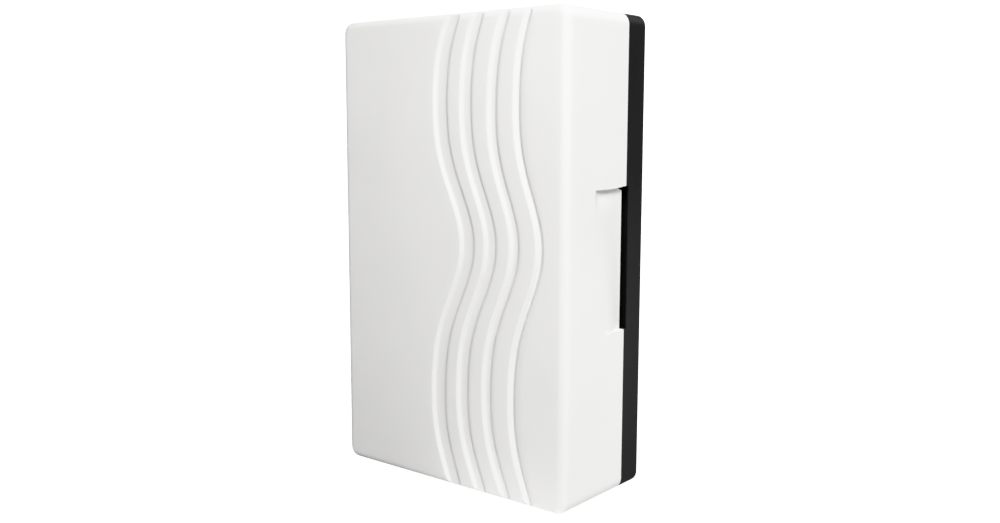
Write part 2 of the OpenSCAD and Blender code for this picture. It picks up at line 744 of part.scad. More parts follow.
module terminal_block() {
    color("#ece8dc") hung() translate([0, block_y, 0]) difference() {
        union() {
            translate([-block_w / 2, -block_l / 2, block_z]) cube([block_w, block_l, cage_z - block_z]);
            for (x = POLES) translate([x, 0, cage_z]) {
                rotate([90, 0, 0]) cylinder(h = block_l, r = barrel_r, center = true);
                for (s = [-1, 1]) translate([0, s * clamp_y, 0]) cylinder(h = tower_h, r = tower_r);
            }
        }
        for (x = POLES) translate([x, 0, cage_z]) {
            rotate([90, 0, 0]) cylinder(h = cage_l + 2 * press_gap, r = cage_r + press_gap, center = true);
            rotate([90, 0, 0]) cylinder(h = block_l + 2 * over, r = wire_hole_r + mouth_gap, center = true);
            for (s = [-1, 1]) translate([0, s * clamp_y, 0])
                cylinder(h = tower_h + over, r = clamp_head_r + head_gap);
        }
        translate([0, 0, block_z - over])
            cylinder(h = cage_z - block_z + 2 * over, r = block_screw_r + pilot_gap);
    }
}

module block_screw() {
    hung() translate([0, block_y, cage_z])
        pan_screw(block_screw_r, block_screw_head_r, block_screw_head_h, block_screw_l);
}

module terminal_cages() {
    color("#c39a46") hung() for (x = POLES) translate([x, block_y, cage_z]) difference() {
        rotate([90, 0, 0]) cylinder(h = cage_l, r = cage_r, center = true);
        for (s = [-1, 1]) {
            translate([0, s * (cage_l / 2 - wire_hole_l), 0]) rotate([-90 * s, 0, 0])
                cylinder(h = wire_hole_l + over, r = wire_hole_r);
            translate([0, s * clamp_y, 0]) cylinder(h = cage_r + over, r = clamp_r + pilot_gap);
        }
    }
}

module terminal_screws() {
    color("#bfc1c0") hung() for (x = POLES, s = [-1, 1]) translate([x, block_y + s * clamp_y, cage_z])
        difference() {
            union() {
                translate([0, 0, clamp_tip_z]) cylinder(h = clamp_head_z - clamp_tip_z + root, r = clamp_r);
                translate([0, 0, clamp_head_z]) cylinder(h = clamp_head_h, r = clamp_head_r);
            }
            translate([-clamp_head_r - over, -clamp_slot_w / 2, clamp_head_z + clamp_head_h / 2])
                cube([2 * clamp_head_r + 2 * over, clamp_slot_w, clamp_head_h]);
        }
}

// Insulated lead along a smooth curve through its points, with both ends cut square to its end runs
module lead(points) {
    line = curve(points, lead_steps);
    last = len(line) - 1;
    far = len(points) - 1;
    skin([for (i = [0:last])
        let (way = i == 0 ? points[1] - points[0]
            : i == last ? points[far] - points[far - 1] : line[i + 1] - line[i - 1])
        ring(line[i], unit(way), [1, 0, 0], lead_r, lead_sides)]);
}

module coil_lead_a() {
    color("#b03030") hung() lead(LEAD_A);
}

module coil_lead_b() {
    color("#26262a") hung() lead(LEAD_B);
}

cover();
base();
low_tone_bar();
high_tone_bar();
low_bar_grommets();
high_bar_grommets();
bar_washers();
bar_screws();
solenoid_frame();
frame_screws();
coil_bobbin();
coil_winding();
coil_tape();
coil_pins();
guide_sleeve();
plunger_core();
dong_tip();
ding_tip();
return_spring();
terminal_block();
block_screw();
terminal_cages();
terminal_screws();
coil_lead_a();
coil_lead_b();
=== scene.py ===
"""Looks of a wired two-note doorbell chime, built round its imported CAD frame.

The white cover, the return spring and the coil's leads are new surfaces worked out with numpy, and
every other node keeps its CAD solid and gets a procedural finish. The pieces' lengths are in
millimetres until a skin puts them into a mesh, in metres, in the frame of the CAD model: X to the
right, Y into the wall and Z up the wall. The studio's own lengths are in metres throughout.
"""

import logging
import math
from collections.abc import Callable, Sequence
from dataclasses import dataclass, field
from enum import Enum

import bmesh
import bpy
import numpy as np
from bpy.types import Material, Node, NodeSocket, NodeTree, Object, World
from numpy.polynomial.polynomial import polyval
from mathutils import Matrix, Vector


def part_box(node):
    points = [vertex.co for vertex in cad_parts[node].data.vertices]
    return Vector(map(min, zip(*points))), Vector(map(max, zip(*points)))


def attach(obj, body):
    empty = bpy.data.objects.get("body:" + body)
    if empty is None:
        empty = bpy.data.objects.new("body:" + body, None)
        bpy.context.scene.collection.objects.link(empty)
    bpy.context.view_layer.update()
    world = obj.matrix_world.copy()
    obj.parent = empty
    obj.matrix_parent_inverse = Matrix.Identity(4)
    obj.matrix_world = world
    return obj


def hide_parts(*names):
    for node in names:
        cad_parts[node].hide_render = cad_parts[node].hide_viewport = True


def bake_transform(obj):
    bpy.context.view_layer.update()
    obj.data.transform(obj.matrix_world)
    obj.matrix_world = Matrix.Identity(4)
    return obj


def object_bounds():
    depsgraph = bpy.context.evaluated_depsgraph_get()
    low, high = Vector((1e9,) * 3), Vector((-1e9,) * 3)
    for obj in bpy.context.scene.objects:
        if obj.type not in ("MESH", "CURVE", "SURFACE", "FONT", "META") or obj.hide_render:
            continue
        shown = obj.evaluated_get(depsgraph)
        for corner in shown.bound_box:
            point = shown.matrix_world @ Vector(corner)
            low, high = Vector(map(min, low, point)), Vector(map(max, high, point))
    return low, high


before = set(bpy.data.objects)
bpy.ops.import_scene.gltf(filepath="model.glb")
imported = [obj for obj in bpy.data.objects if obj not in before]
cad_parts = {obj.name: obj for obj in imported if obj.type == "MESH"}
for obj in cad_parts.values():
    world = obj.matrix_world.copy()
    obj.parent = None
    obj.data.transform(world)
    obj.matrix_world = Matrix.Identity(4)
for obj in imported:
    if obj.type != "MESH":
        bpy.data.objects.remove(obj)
CAD_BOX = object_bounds()

MM = 0.001
WELD = 1e-6
COLUMN_DIGITS = 6
TURN_DIGITS = 9
ALONG_X = np.array([1.0, 0.0, 0.0])
ALONG_Z = np.array([0.0, 0.0, 1.0])
LOG = logging.getLogger("chime")

Color = tuple[float, float, float]
Point = tuple[float, float, float]


def bench(points: Sequence[Sequence[float]]) -> np.ndarray:
    """Turn points of the bench drawing to the wall: (x, y, z) becomes (x, -z, y).

    Args:
        points: Points with x to the right, y up the wall and z out of the wall.

    Returns:
        The same points in the CAD frame.
    """
    flat = np.asarray(points, float)
    return np.stack([flat[:, 0], -flat[:, 2], flat[:, 1]], axis=1)


def unit(vectors: np.ndarray) -> np.ndarray:
    """Scale each row vector to length one."""
    return vectors / np.linalg.norm(vectors, axis=-1, keepdims=True)


def ramp(values: np.ndarray, low: float, high: float) -> np.ndarray:
    """Straight ramp: 0 up to low, 1 from high on."""
    return np.clip((values - low) / (high - low), 0.0, 1.0)


def spline(points: np.ndarray, steps: int) -> np.ndarray:
    """Smooth curve through points, as in the CAD model's leads.

    Formula: between points b and c, with neighbours a and d, the curve at share t is half of
    2b + (c - a) t + (2a - 5b + 4c - d) t^2 + (3b - a - 3c + d) t^3.

    Args:
        points: The points, in order.
        steps: Steps between two neighbouring points.

    Returns:
        The curve's points, ends included.
    """
    padded = np.concatenate([points[:1], points, points[-1:]])
    a, b, c, d = (padded[k:len(padded) - 3 + k, None, :] for k in range(4))
    t = np.linspace(0.0, 1.0, steps, endpoint=False)[None, :, None]
    body = 0.5 * (2 * b + (c - a) * t + (2 * a - 5 * b + 4 * c - d) * t**2
                  + (3 * b - a - 3 * c + d) * t**3)
    return np.concatenate([body.reshape(-1, 3), points[-1:]])


class Skin:
    """Points and faces of one piece, gathered patch by patch."""

    def __init__(self) -> None:
        """Start with no patch."""
        self.points: list[np.ndarray] = []
        self.faces: list[list[int]] = []
        self.count = 0

    def add_grid(self, grid: np.ndarray, wrap: bool = False, flip: bool = False,
                 keep: np.ndarray | None = None) -> None:
        """Add a patch of quads over a grid of points.

        Formula: the quad at row i and column j joins (i, j), (i, j+1), (i+1, j+1) and (i+1, j).

        Args:
            grid: Points of shape (rows, columns, 3), in millimetres.
            wrap: Whether the last column joins the first.
            flip: Whether the faces turn to the other side.
            keep: Which quads stay, of shape (rows - 1, columns - 1), or all of them.
        """
        rows, columns = grid.shape[:2]
        i, j = np.meshgrid(np.arange(rows - 1), np.arange(columns if wrap else columns - 1),
                           indexing="ij")
        n = (j + 1) % columns
        here, after = i * columns, (i + 1) * columns
        quads = np.stack([here + j, here + n, after + n, after + j], axis=-1)
        quads = quads.reshape(-1, 4) if keep is None else quads[keep]
        self._extend(grid.reshape(-1, 3), quads[:, ::-1] if flip else quads)

    def add_polygon(self, corners: np.ndarray) -> None:
        """Add one flat face through the corners, in their order."""
        self._extend(corners, np.arange(len(corners))[None, :])

    def add_tube(self, line: np.ndarray, side: np.ndarray, radii: np.ndarray, sides: int) -> None:
        """Add a round tube along a line, closed at both ends.

        Formula: the ring at a line point has the points c + r (cos q u + sin q v), with u the part
        of the side vector that is square to the line, v the cross product of the line's direction
        and u, and q from 0 to one turn.

        Args:
            line: Middle line of shape (n, 3), in millimetres.
            side: A vector not along the line, of shape (3,) or (n, 3).
            radii: Radius at each line point.
            sides: Points on a ring.
        """
        way = unit(np.gradient(line, axis=0))
        side = np.broadcast_to(side, line.shape)
        u = unit(side - way * np.sum(side * way, axis=1, keepdims=True))
        v = np.cross(way, u)
        q = np.linspace(0.0, 2 * np.pi, sides, endpoint=False)[None, :, None]
        spokes = np.cos(q) * u[:, None] + np.sin(q) * v[:, None]
        rings = line[:, None] + radii[:, None, None] * spokes
        self.add_grid(rings, wrap=True)
        self.add_polygon(rings[0, ::-1])
        self.add_polygon(rings[-1])

    def _extend(self, points: np.ndarray, faces: np.ndarray) -> None:
        """Append points, and faces that count from the first of them."""
        self.points.append(points)
        self.faces.extend((faces + self.count).tolist())
        self.count += len(points)

    def build(self, name: str, crease: float = 32.0) -> Object:
        """Put the patches into one mesh with welded seams.

        Args:
            name: Name of the piece.
            crease: Angle in degrees from which an edge is drawn sharp.

        Returns:
            The new object, linked into the scene.
        """
        mesh = bpy.data.meshes.new(name)
        mesh.from_pydata((np.concatenate(self.points) * MM).tolist(), [], self.faces)
        work = bmesh.new()
        work.from_mesh(mesh)
        bmesh.ops.remove_doubles(work, verts=work.verts, dist=WELD)
        work.to_mesh(mesh)
        work.free()
        mesh.shade_smooth()
        mesh.set_sharp_from_angle(angle=math.radians(crease))
        piece = bpy.data.objects.new(name, mesh)
        bpy.context.scene.collection.objects.link(piece)
        return piece


class Tree:
    """A node tree with short calls to add and join nodes.

    Sockets of the Mix node share their names, so those of its colours are given by number.
    """

    MIX_INPUTS = (0, 6, 7)
    MIX_OUTPUT = 2

    def __init__(self, tree: NodeTree) -> None:
        """Work on the given tree."""
        self.tree = tree

    def add(self, kind: str, settings: dict[str, object] | None = None, **values: object) -> Node:
        """Add a node.

        Args:
            kind: Blender's name of the node type.
            settings: Properties of the node itself.
            values: Input values, as for fill.

        Returns:
            The new node.
        """
        node = self.tree.nodes.new(kind)
        for key, value in (settings or {}).items():
            setattr(node, key, value)
        self.fill(node, **values)
        return node

    def fill(self, node: Node, **values: object) -> None:
        """Give inputs of a node by name, with _ for a space, as constants or as sockets to join."""
        for key, value in values.items():
            self.put(node, key.replace("_", " "), value)

    def put(self, node: Node, name: str | int, value: object) -> None:
        """Join a socket to a node's input, or set the input to a constant.

        Args:
            node: The node.
            name: Name or number of its input.
            value: The socket or the constant.
        """
        socket = node.inputs[name]
        if isinstance(value, NodeSocket):
            self.tree.links.new(value, socket)
        else:
            socket.default_value = value

    def mix(self, share: object, first: object, second: object) -> NodeSocket:
        """Mix two colours.

        Args:
            share: Share of the second colour.
            first: Colour at no share.
            second: Colour at a full share.

        Returns:
            The mixed colour's socket.
        """
        node = self.add("ShaderNodeMix", {"data_type": "RGBA"})
        for index, value in zip(self.MIX_INPUTS, (share, first, second)):
            self.put(node, index, value)
        return node.outputs[self.MIX_OUTPUT]

    def feed(self, node: Node, *values: object) -> Node:
        """Give the inputs of a node in order, as constants or as sockets to join, and return it."""
        for index, value in enumerate(values):
            self.put(node, index, value)
        return node

    def blend(self, share: object, first: Node, second: Node) -> Node:
        """Mix two shaders by a share of the second, and return the node that mixes them."""
        node = self.add("ShaderNodeMixShader")
        return self.feed(node, share, first.outputs[0], second.outputs[0])

    def seen(self, plain: Node, shown: Node) -> Node:
        """Mix two shaders so that the camera sees the second and all other rays the first."""
        return self.blend(self.add("ShaderNodeLightPath").outputs["Is Camera Ray"], plain, shown)

    def span(self, value: object, low: float, high: float, start: float = 0.0,
             end: float = 1.0) -> NodeSocket:
        """Map a value from the range start to end onto low to high, and return its socket."""
        node = self.add("ShaderNodeMapRange", Value=value, From_Min=start, From_Max=end,
                        To_Min=low, To_Max=high)
        return node.outputs["Result"]

    def stretch(self, value: object, limits: tuple[float, float]) -> NodeSocket:
        """Map a value from the range between two limits onto 0 to 1, and return its socket."""
        return self.span(value, 0.0, 1.0, *limits)

    def noise(self, vector: object, scale: object, detail: float, rough: float = 0.5) -> NodeSocket:
        """Add a noise texture, and return its value's socket."""
        node = self.add("ShaderNodeTexNoise", Vector=vector, Scale=scale, Detail=detail,
                        Roughness=rough)
        return node.outputs["Fac"]

    def scaled(self, vector: object, scale: Point) -> NodeSocket:
        """Stretch a vector by a scale for each axis, and return its socket."""
        node = self.add("ShaderNodeVectorMath", {"operation": "MULTIPLY"})
        return self.feed(node, vector, scale).outputs["Vector"]

    def product(self, first: object, second: object) -> NodeSocket:
        """Multiply two values, keep the product within 0 to 1, and return its socket."""
        node = self.add("ShaderNodeMath", {"operation": "MULTIPLY", "use_clamp": True})
        return self.feed(node, first, second).outputs["Value"]


def bare_tree(owner: Material | World) -> Tree:
    """Give a material or a world an empty node tree, and return it."""
    owner.use_nodes = True
    owner.node_tree.nodes.clear()
    return Tree(owner.node_tree)


def rgba(color: Color) -> tuple[float, float, float, float]:
    """Add a full alpha to a colour."""
    return (*color, 1.0)


def grey(tone: float) -> tuple[float, float, float, float]:
    """Return a grey of a tone from 0 to 1, with a full alpha."""
    return rgba((tone, tone, tone))


class Pattern(Enum):
    """Surface patterns that finishes share, each a node group with the same sockets.

    The inputs are Vector and Scale. The outputs are Mottle, a slow drift of the colour, Gloss, a
    drift of the roughness, and Height, the relief for a bump, all from 0 to 1.
    """

    MOULDED = "moulded_skin"
    BRUSHED = "brushed_lines"
    TURNED = "turned_rings"
    WOUND = "wound_wire"

    def group(self) -> NodeTree:
        """Return the pattern's node group, which is built the first time."""
        found = bpy.data.node_groups.get(self.value)
        return found if found else PATTERN_MAKERS[self](self.value)


PATTERN_OUTPUTS = ("Mottle", "Gloss", "Height")
CLOUD_LIMITS = (0.3, 0.7)
LINE_LIMITS = (0.25, 0.75)
LEVEL_LIMITS = (0.2, 1.0)
SPECK_LIMITS = (0.42, 0.72)


def open_group(name: str, value: str,
               outputs: Sequence[str]) -> tuple[Tree, NodeSocket, NodeSocket, Node]:
    """Start a node group with the inputs Vector and one value.

    Args:
        name: Name of the group.
        value: Name of the value.
        outputs: Names of the outputs, which are values too.

    Returns:
        The group's tree, the sockets of its vector and its value, and its output node.
    """
    group = bpy.data.node_groups.new(name, "ShaderNodeTree")
    group.interface.new_socket("Vector", in_out="INPUT", socket_type="NodeSocketVector")
    group.interface.new_socket(value, in_out="INPUT", socket_type="NodeSocketFloat")
    for output in outputs:
        group.interface.new_socket(output, in_out="OUTPUT", socket_type="NodeSocketFloat")
    tree = Tree(group)
    source, sink = tree.add("NodeGroupInput"), tree.add("NodeGroupOutput")
    return tree, source.outputs["Vector"], source.outputs[value], sink


def moulded_skin(name: str) -> NodeTree:
    """Build the pattern of moulded plastic: a fine grain over slow drifts of colour and gloss."""
    tree, vector, scale, sink = open_group(name, "Scale", PATTERN_OUTPUTS)
    drift = tree.noise(vector, scale=18.0, detail=2.0)
    flow = tree.noise(tree.scaled(vector, (1.0, 1.0, 0.25)), scale=70.0, detail=4.0)
    tree.fill(sink, Height=tree.noise(vector, scale, detail=3.0, rough=0.55),
              Mottle=tree.stretch(drift, CLOUD_LIMITS), Gloss=tree.stretch(flow, CLOUD_LIMITS))
    return tree.tree


def brushed_lines(name: str) -> NodeTree:
    """Build the pattern of ground metal: long fine lines along Z over cloudy plating."""
    tree, vector, scale, sink = open_group(name, "Scale", PATTERN_OUTPUTS)
    lines = tree.noise(tree.scaled(vector, (1.0, 1.0, 0.012)), scale, detail=4.0, rough=0.65)
    cloud = tree.noise(vector, scale=90.0, detail=4.0, rough=0.6)
    tree.fill(sink, Height=lines, Mottle=tree.stretch(cloud, CLOUD_LIMITS),
              Gloss=tree.stretch(lines, LINE_LIMITS))
    return tree.tree


def turned_rings(name: str) -> NodeTree:
    """Build the pattern of turned metal: fine rings round the striker's axis, over a slow stain."""
    tree, vector, scale, sink = open_group(name, "Scale", PATTERN_OUTPUTS)
    rings = tree.noise(tree.scaled(vector, (1.0, 0.02, 0.02)), scale, detail=3.0, rough=0.6)
    stain = tree.noise(vector, scale=260.0, detail=4.0, rough=0.6)
    tree.fill(sink, Height=rings, Mottle=tree.stretch(stain, CLOUD_LIMITS),
              Gloss=tree.stretch(rings, LINE_LIMITS))
    return tree.tree


def wound_wire(name: str) -> NodeTree:
    """Build the pattern of a winding: round turns of wire along X, a little uneven."""
    tree, vector, scale, sink = open_group(name, "Scale", PATTERN_OUTPUTS)
    bands = {"wave_type": "BANDS", "bands_direction": "X", "wave_profile": "SIN"}
    turns = tree.add("ShaderNodeTexWave", bands, Vector=vector, Scale=scale, Distortion=0.6,
                     Detail=1.0, Detail_Scale=0.4).outputs["Fac"]
    stain = tree.noise(vector, scale=320.0, detail=3.0)
    tree.fill(sink, Height=turns, Mottle=tree.stretch(stain, CLOUD_LIMITS), Gloss=turns)
    return tree.tree


PATTERN_MAKERS: dict[Pattern, Callable[[str], NodeTree]] = {
    Pattern.MOULDED: moulded_skin,
    Pattern.BRUSHED: brushed_lines,
    Pattern.TURNED: turned_rings,
    Pattern.WOUND: wound_wire,
}


def settled_dust() -> NodeTree:
    """Node group of thin dust: a mask that is patchy and lies on faces that look upwards.

    Returns:
        The group, with inputs Vector and Amount and the output Mask.
    """
    name = "settled_dust"
    found = bpy.data.node_groups.get(name)
    if found:
        return found
    tree, vector, amount, sink = open_group(name, "Amount", ("Mask",))
    patches = tree.noise(vector, scale=420.0, detail=5.0, rough=0.7)
    normal = tree.add("ShaderNodeNewGeometry").outputs["Normal"]
    upwards = tree.add("ShaderNodeSeparateXYZ", Vector=normal).outputs["Z"]
    lying = tree.product(tree.stretch(upwards, LEVEL_LIMITS), tree.stretch(patches, SPECK_LIMITS))
    tree.fill(sink, Mask=tree.product(lying, amount))
    return tree.tree


@dataclass(frozen=True)
class Finish:
    """One finish: two close colours, a range of roughness and a shared pattern at its own scale."""

    name: str
    color: Color
    tint: Color
    rough: tuple[float, float]
    pattern: Pattern = Pattern.MOULDED
    scale: float = 2600.0
    relief: float = 0.15
    depth: float = 0.00004
    metallic: float = 0.0
    specular: float = 0.5
    coat: float = 0.0
    sheen: float = 0.0
    dust: float = 0.0
    dust_color: Color = (0.42, 0.4, 0.37)

    def material(self) -> Material:
        """Return the finish's material, which is built the first time.

        The pattern's mottle mixes the two colours, its gloss runs through the range of roughness,
        and its height makes a bump. Dust lies over the colours.
        """
        found = bpy.data.materials.get(self.name)
        if found:
            return found
        made = bpy.data.materials.new(self.name)
        tree = bare_tree(made)
        place = tree.add("ShaderNodeTexCoord").outputs["Object"]
        pattern = tree.add("ShaderNodeGroup", {"node_tree": self.pattern.group()}, Vector=place,
                           Scale=self.scale)
        color = tree.mix(pattern.outputs["Mottle"], rgba(self.color), rgba(self.tint))
        if self.dust:
            dust = tree.add("ShaderNodeGroup", {"node_tree": settled_dust()}, Vector=place,
                            Amount=self.dust)
            color = tree.mix(dust.outputs["Mask"], color, rgba(self.dust_color))
        bump = tree.add("ShaderNodeBump", Strength=self.relief, Distance=self.depth,
                        Height=pattern.outputs["Height"])
        shader = tree.add("ShaderNodeBsdfPrincipled", Base_Color=color,
                          Roughness=tree.span(pattern.outputs["Gloss"], *self.rough),
                          Metallic=self.metallic, Specular_IOR_Level=self.specular,
                          Coat_Weight=self.coat, Sheen_Weight=self.sheen,
                          Normal=bump.outputs["Normal"])
        tree.add("ShaderNodeOutputMaterial", Surface=shader.outputs["BSDF"])
        return made


WHITE_ABS = Finish("white_abs", (0.863, 0.859, 0.85), (0.833, 0.829, 0.819), (0.44, 0.52),
                   scale=2400.0, relief=0.08, specular=0.2)
BLACK_ABS = Finish("black_abs", (0.004, 0.0038, 0.004), (0.006, 0.0058, 0.006), (0.46, 0.58),
                   scale=3200.0, relief=0.35, specular=0.23, dust=0.02)
BAR_NICKEL = Finish("bar_nickel", (0.62, 0.61, 0.58), (0.54, 0.53, 0.5), (0.2, 0.38),
                    Pattern.BRUSHED, scale=5200.0, relief=0.12, metallic=1.0)
ZINC_PLATE = Finish("zinc_plate", (0.6, 0.59, 0.55), (0.5, 0.48, 0.4), (0.24, 0.42),
                    scale=3200.0, relief=0.1, metallic=1.0)
YOKE_ZINC = Finish("yoke_zinc", (0.5, 0.51, 0.51), (0.42, 0.43, 0.43), (0.3, 0.5),
                   Pattern.BRUSHED, scale=4200.0, relief=0.12, metallic=1.0)
TURNED_STEEL = Finish("turned_steel", (0.46, 0.46, 0.46), (0.38, 0.375, 0.37), (0.22, 0.4),
                      Pattern.TURNED, scale=9000.0, relief=0.2, metallic=1.0)
SPRING_WIRE = Finish("spring_wire", (0.5, 0.5, 0.5), (0.36, 0.35, 0.33), (0.2, 0.36),
                     scale=5200.0, relief=0.1, metallic=1.0)
DRAWN_BRASS = Finish("drawn_brass", (0.72, 0.5, 0.2), (0.6, 0.4, 0.15), (0.2, 0.36),
                     Pattern.TURNED, scale=7000.0, relief=0.12, metallic=1.0)
TINNED = Finish("tinned_wire", (0.66, 0.64, 0.6), (0.5, 0.48, 0.44), (0.2, 0.4),
                scale=2800.0, relief=0.3, metallic=1.0)
COPPER_ENAMEL = Finish("copper_enamel", (0.5, 0.18, 0.06), (0.4, 0.13, 0.045), (0.18, 0.32),
                       Pattern.WOUND, scale=950.0, relief=0.8, depth=0.0001, metallic=0.9)
AMBER_TAPE = Finish("amber_tape", (0.62, 0.36, 0.03), (0.52, 0.28, 0.02), (0.18, 0.3),
                    Pattern.WOUND, scale=520.0, relief=0.25, depth=0.00006, coat=0.3)
NATURAL_NYLON = Finish("natural_nylon", (0.72, 0.68, 0.56), (0.66, 0.61, 0.48), (0.34, 0.48),
                       relief=0.12)
TIP_NYLON = Finish("tip_nylon", (0.78, 0.75, 0.66), (0.72, 0.68, 0.57), (0.3, 0.45),
                   scale=2800.0, relief=0.1)
BLOCK_NYLON = Finish("block_nylon", (0.74, 0.71, 0.62), (0.69, 0.65, 0.55), (0.38, 0.52),
                     scale=2400.0, relief=0.14)
BLACK_RUBBER = Finish("black_rubber", (0.018, 0.018, 0.018), (0.028, 0.027, 0.026), (0.62, 0.8),
                      scale=2000.0, relief=0.35, sheen=0.05, dust=0.06)
RED_PVC = Finish("red_pvc", (0.4, 0.02, 0.02), (0.34, 0.016, 0.016), (0.34, 0.48), relief=0.08)
BLACK_PVC = Finish("black_pvc", (0.016, 0.016, 0.018), (0.022, 0.022, 0.024), (0.34, 0.48),
                   relief=0.08)

NODE_FINISHES: dict[str, Finish] = {
    "base": BLACK_ABS,
    "low_tone_bar": BAR_NICKEL,
    "high_tone_bar": BAR_NICKEL,
    "low_bar_grommets": BLACK_RUBBER,
    "high_bar_grommets": BLACK_RUBBER,
    "bar_washers": ZINC_PLATE,
    "bar_screws": ZINC_PLATE,
    "solenoid_frame": YOKE_ZINC,
    "frame_screws": ZINC_PLATE,
    "coil_bobbin": NATURAL_NYLON,
    "coil_winding": COPPER_ENAMEL,
    "coil_tape": AMBER_TAPE,
    "coil_pins": TINNED,
    "guide_sleeve": DRAWN_BRASS,
    "plunger_core": TURNED_STEEL,
    "dong_tip": TIP_NYLON,
    "ding_tip": TIP_NYLON,
    "terminal_block": BLOCK_NYLON,
    "block_screw": ZINC_PLATE,
    "terminal_cages": DRAWN_BRASS,
    "terminal_screws": ZINC_PLATE,
}


def wear(piece: Object, finish: Finish, slot: str, body: str, *nodes: str) -> Object:
    """Give a new piece its finish, and tie it to the frame.

    Args:
        piece: The new piece.
        finish: Its finish.
        slot: Not used.
        body: The CAD body that it rides on, or none to leave it untied.
        nodes: CAD nodes that it stands for.

    Returns:
        The piece.
    """
    piece.data.materials.append(finish.material())
    if nodes:
        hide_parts(*nodes)
    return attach(piece, body) if body else piece


@dataclass
class CoverShell:
    """White moulded cover: a rounded shell with wave grooves, side scoops and sound slots.

    Each groove has a soft bank on its left and a sharp one on its right, and its drift holds the
    factors of a cubic. Each scoop is deepest at the joint, with a crisp shelf at its upper end.
    """

    corner_r: float = 5.0
    edge_r: float = 3.5
    wall: float = 2.2
    front_wall: float = 3.4
    groove_count: int = 4
    groove_x: float = 6.2
    groove_pitch: float = 12.5
    groove_gap: float = 6.6
    groove_taper: float = 1.4
    groove_depth: float = 1.2
    bank_w: float = 2.4
    step_w: float = 2.0
    wave_swing: float = 7.5
    wave_ripple: float = 1.2
    wave_fade: float = 0.05
    wave_length: float = 120.0
    wave_crest: float = 5.0
    wave_lean: float = 1.0
    groove_drifts: tuple[tuple[float, ...], ...] = (
        (0.36, -1.1, -1.49, 1.87), (0.0, 0.0, 0.0, 0.0),
        (-0.41, 0.86, 1.18, -0.78), (-0.61, 0.45, 0.05, -0.58))
    scoop_h: float = 60.0
    scoop_run: float = 24.0
    scoop_depth: float = 1.9
    scoop_ease: float = 2.0
    scoop_fade: float = 5.5
    scoop_crisp: float = 8.0
    scoop_narrow: float = 12.0
    backing_depth: float = 1.4
    shelf_run: float = 22.4
    shelf_sag: float = 1.0
    sag_run: float = 14.0
    sag_reach: float = 8.0
    sound_gap: float = 0.6
    notch_run: float = 4.0
    notch_h: float = 0.8
    row_step: float = 1.5
    row_clear: float = 0.5
    shelf: float = 0.05
    corner_steps: int = 10
    plain_columns: int = 16
    bank_columns: int = 13
    bed_columns: int = 4
    step_columns: int = 9
    land_columns: int = 5
    rim_columns: int = 6
    plain_rings: int = 4
    tip_rings: int = 11
    scoop_rings: int = 14
    tip_share: float = 0.8
    half_w: float = field(init=False)
    half_h: float = field(init=False)
    front: float = field(init=False)
    depth: float = field(init=False)
    straight_w: float = field(init=False)
    straight_h: float = field(init=False)
    flat_w: float = field(init=False)
    flat_h: float = field(init=False)

    def __post_init__(self) -> None:
        """Take the overall sizes from the CAD node."""
        low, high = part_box("cover")
        self.half_w = (high.x - low.x) / 2 / MM
        self.half_h = (high.z - low.z) / 2 / MM
        self.front = low.y / MM
        self.depth = (high.y - low.y) / MM
        self.straight_w = self.half_w - self.corner_r
        self.straight_h = self.half_h - self.corner_r
        self.flat_w = self.half_w - self.edge_r
        self.flat_h = self.half_h - self.edge_r

    def wave(self, z: np.ndarray) -> np.ndarray:
        """Sideways place of the waves at heights z.

        Formula: swing cos(a) + ripple cos(2a) + z tan(lean), with a one turn per wavelength from
        the crest.
        """
        a = 2 * np.pi * (z - self.wave_crest) / self.wave_length
        lean = math.tan(math.radians(self.wave_lean))
        return self.wave_swing * np.cos(a) + self.wave_ripple * np.cos(2 * a) + z * lean

    def banks(self) -> tuple[np.ndarray, np.ndarray]:
        """Middle of each groove's soft bank and of its sharp bank, along x at no wave."""
        i = np.arange(self.groove_count)
        sharp = self.groove_x + i * self.groove_pitch
        return sharp - self.groove_gap + i * self.groove_taper, sharp

    def shares(self, x: np.ndarray) -> np.ndarray:
        """Share with which columns belong to each groove.

        Formula: the share is one across a groove, and falls evenly to none at the grooves beside it
        or at the edges.

        Args:
            x: Columns at no wave.

        Returns:
            Shares of shape (grooves, columns).
        """
        soft, sharp = self.banks()
        places = np.stack([soft - self.bank_w / 2, sharp + self.step_w / 2], axis=1).ravel()
        places = np.concatenate([[-self.straight_w], places, [self.straight_w]])
        ones = np.pad(np.repeat(np.eye(self.groove_count), 2, axis=1), ((0, 0), (1, 1)))
        return np.stack([np.interp(x, places, row) for row in ones])

    def shift(self, x: np.ndarray, z: np.ndarray) -> np.ndarray:
        """Sideways shift of the front.

        Formula: each groove follows the wave a little less than the one before it, and adds a small
        drift of its own, a cubic in the height. Columns between grooves take an even mix of both.

        Args:
            x: Columns at no wave.
            z: Heights, of a shape that broadcasts with the columns.

        Returns:
            The shifts along x.
        """
        wave, height = self.wave(z), z / self.half_h
        parts = zip(self.shares(x), self.groove_drifts)
        return sum(share * ((1 - self.wave_fade * i) * wave + polyval(height, drift))
                   for i, (share, drift) in enumerate(parts))

    def groove(self, x: np.ndarray) -> np.ndarray:
        """Depth of the grooves at columns x.

        Formula: each groove goes down by half a cosine over its soft bank, and comes up over its
        sharp bank by the mean of a straight ramp and a ramp with eased ends.
        """
        soft, sharp = self.banks()
        down = ramp(x[:, None] - soft, -self.bank_w / 2, self.bank_w / 2)
        up = ramp(x[:, None] - sharp, -self.step_w / 2, self.step_w / 2)
        eased = (up + up * up * (3 - 2 * up)) / 2
        return self.groove_depth * np.sum((1 - np.cos(np.pi * down)) / 2 - eased, axis=1)

